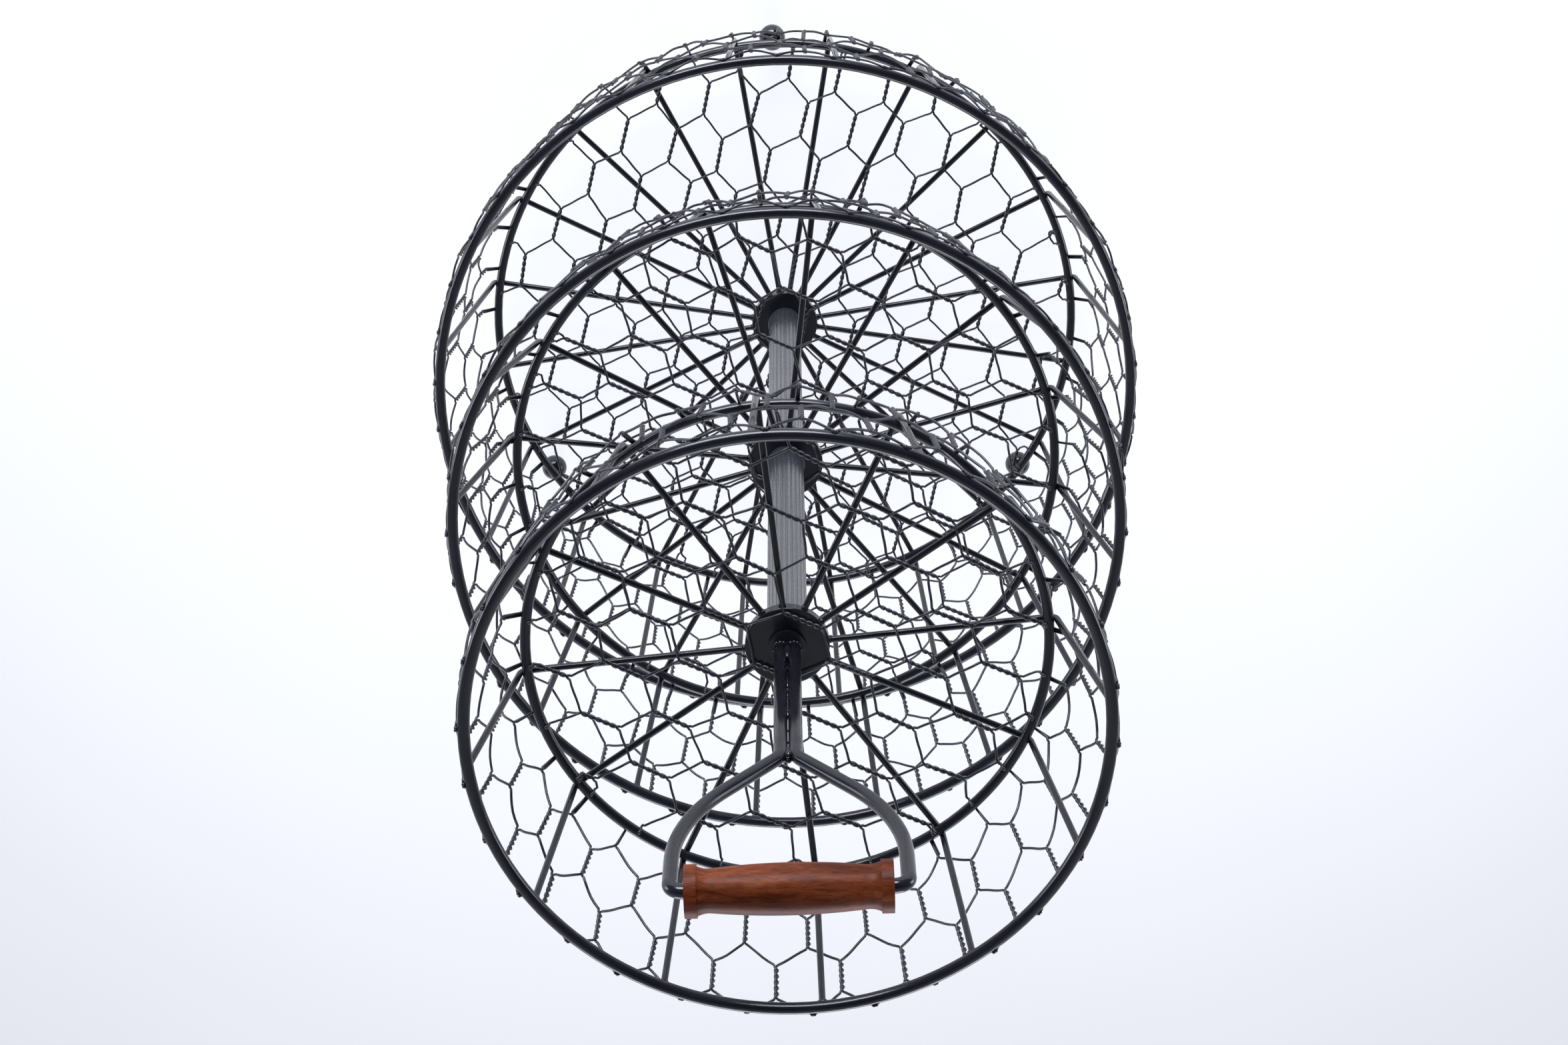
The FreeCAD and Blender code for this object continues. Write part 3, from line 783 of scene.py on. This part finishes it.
def materials():
    """The material of each slot."""
    black = (0.011, 0.0115, 0.0165)
    charcoal = (0.018, 0.019, 0.027)
    return {
        "wire_black": powder_coat("wire_coat", dark=black, light=charcoal,
                                  smooth=0.16, rough=0.23),
        "netting_black": powder_coat("netting_coat", dark=(0.022, 0.0225, 0.031),
                                     light=(0.032, 0.0325, 0.045),
                                     smooth=0.24, rough=0.34, index=1.6),
        # painted sheen: the post's black coat is lifted to a lighter grey than the other black
        # coats, standing in for the pale floor it reflects; its stronger mirroring (index, level)
        # is real reflection
        "post_black": powder_coat("post_coat_painted_sheen", dark=(0.048, 0.050, 0.062),
                                  light=(0.058, 0.060, 0.075),
                                  smooth=0.22, rough=0.30, index=2.1, level=0.9),
        "feet_black": powder_coat("feet_coat", dark=black, light=charcoal,
                                  smooth=0.08, rough=0.14),
        "fixings_steel": steel(),
        "grip_wood": varnished_wood(),
    }


def paint(looks):
    """Every CAD node and every new piece gets the material of its slot."""
    slots = {row["node"]: row["material_slot"] for row in frame["record"]["subparts"]}
    for name, item in frame["nodes"].items():
        if not item.material_slots:
            item.data.materials.append(None)
        for place in item.material_slots:
            place.material = looks[slots[name]]
    for item in bpy.data.objects:
        if item.get("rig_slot") and item.type == "MESH":
            item.data.materials.clear()
            item.data.materials.append(looks[item["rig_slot"]])


# ---------------------------------------------------------------- studio
FLOOR_RADIUS = 2.0
FLOOR_SIDES = 96
LIGHT_COLOUR = (0.88, 0.91, 1.0)
# place, what it is aimed at, width and height, and watts
SOFTBOXES = {
    "key_softbox": ((0.5, -3.2, 1.0), (0, 0, 0.45), (2.2, 1.4), 130),
    "bounce_softbox": ((0.0, 2.2, 0.7), (0, 0, 0.4), (2.0, 1.0), 32),
    "left_softbox": ((-1.9, -0.08, 0.34), (0, 0, 0.45), (0.8, 0.6), 8),
    "right_softbox": ((1.9, -0.08, 0.34), (0, 0, 0.45), (0.8, 0.6), 8),
}
# the room's light on the stand from -Y and from +Y, and what the camera sees of the room
DIM_ROOM = (0.030, 0.032, 0.040, 1)
LIT_ROOM = (0.62, 0.64, 0.72, 1)
BACKDROP = (0.84, 0.86, 0.91, 1)


def floor():
    """The round floor that the stand stands on."""
    builder = bmesh.new()
    bmesh.ops.create_circle(builder, cap_ends=True, segments=FLOOR_SIDES, radius=FLOOR_RADIUS)
    mesh = bpy.data.meshes.new("studio_floor")
    builder.to_mesh(mesh)
    builder.free()
    ground = bpy.data.objects.new("studio_floor", mesh)
    bpy.context.scene.collection.objects.link(ground)
    mesh.materials.append(floor_with_painted_light())


def area_light(name, place, aim, size, power):
    """A rectangular softbox that faces a point."""
    data = bpy.data.lights.new(name, "AREA")
    data.shape = "RECTANGLE"
    data.size, data.size_y = size
    data.color = LIGHT_COLOUR
    data.energy = power
    lamp = bpy.data.objects.new(name, data)
    bpy.context.scene.collection.objects.link(lamp)
    lamp.location = place
    lamp.rotation_euler = (Vector(aim) - Vector(place)).to_track_quat("-Z", "Y").to_euler()


def room(tree):
    """What the pieces reflect: a dim room, lighter towards +Y, as over a pale table. What the
    camera sees behind the floor is plain and pale."""
    direction = tree.nodes.new("ShaderNodeTexCoord").outputs["Generated"]
    parts = tree.nodes.new("ShaderNodeSeparateXYZ")
    tree.links.new(direction, parts.inputs["Vector"])
    glow = tree.nodes.new("ShaderNodeValToRGB")
    glow.color_ramp.elements[0].position = 0.05
    glow.color_ramp.elements[0].color = DIM_ROOM
    glow.color_ramp.elements[1].position = 0.85
    glow.color_ramp.elements[1].color = LIT_ROOM
    tree.links.new(parts.outputs["Y"], glow.inputs["Fac"])
    seen = tree.nodes.new("ShaderNodeMix")
    seen.data_type = "RGBA"
    tree.links.new(tree.nodes.new("ShaderNodeLightPath").outputs["Is Camera Ray"],
                   seen.inputs["Factor"])
    tree.links.new(glow.outputs["Color"], seen.inputs["A"])
    seen.inputs["B"].default_value = BACKDROP
    tree.links.new(seen.outputs["Result"], tree.nodes["Background"].inputs["Color"])


def studio():
    """A dim room with a pale background, and soft light from large panels."""
    world = bpy.data.worlds.new("studio_room")
    bpy.context.scene.world = world
    world.use_nodes = True
    room(world.node_tree)
    for name, settings in SOFTBOXES.items():
        area_light(name, *settings)
    bpy.context.scene.view_settings.view_transform = "Standard"


# the lens in millimetres, its place measured from the middle of the bottom base ring, and the
# directions that it looks in and has upward
SENSOR_WIDTH = 36.0
FOCAL_LENGTH = 64.56
EYE = (0.00437, -0.51495, 1.42034)
AHEAD = (-0.0026, 0.4061, -0.9138)
UPWARD = (0.0, -0.9138, -0.4061)


def camera():
    """The photograph's view: from the handle's end, looking down past it into the baskets."""
    data = bpy.data.cameras.new("photo_camera")
    data.sensor_width = SENSOR_WIDTH
    data.lens = FOCAL_LENGTH
    data.clip_start = 0.05
    eye = bpy.data.objects.new("photo_camera", data)
    bpy.context.scene.collection.objects.link(eye)
    ahead = Vector(AHEAD).normalized()
    right = ahead.cross(Vector(UPWARD)).normalized()
    upward = right.cross(ahead)
    turn = Matrix((right, upward, -ahead)).transposed()
    across, along, height = EYE
    place = Matrix.Translation((across, along, height + Ring("bottom_base_ring").height))
    eye.matrix_world = place @ turn.to_4x4()
    bpy.context.scene.camera = eye


# ---------------------------------------------------------------- the whole scene
for tier in TIERS:
    basket = Basket(tier)
    basket_welds(basket, side_netting(basket) + floor_netting(basket))
foot_welds()
stirrup = Handle()
handle_rod(stirrup)
handle_welds(stirrup)

paint(materials())
floor()
studio()
camera()
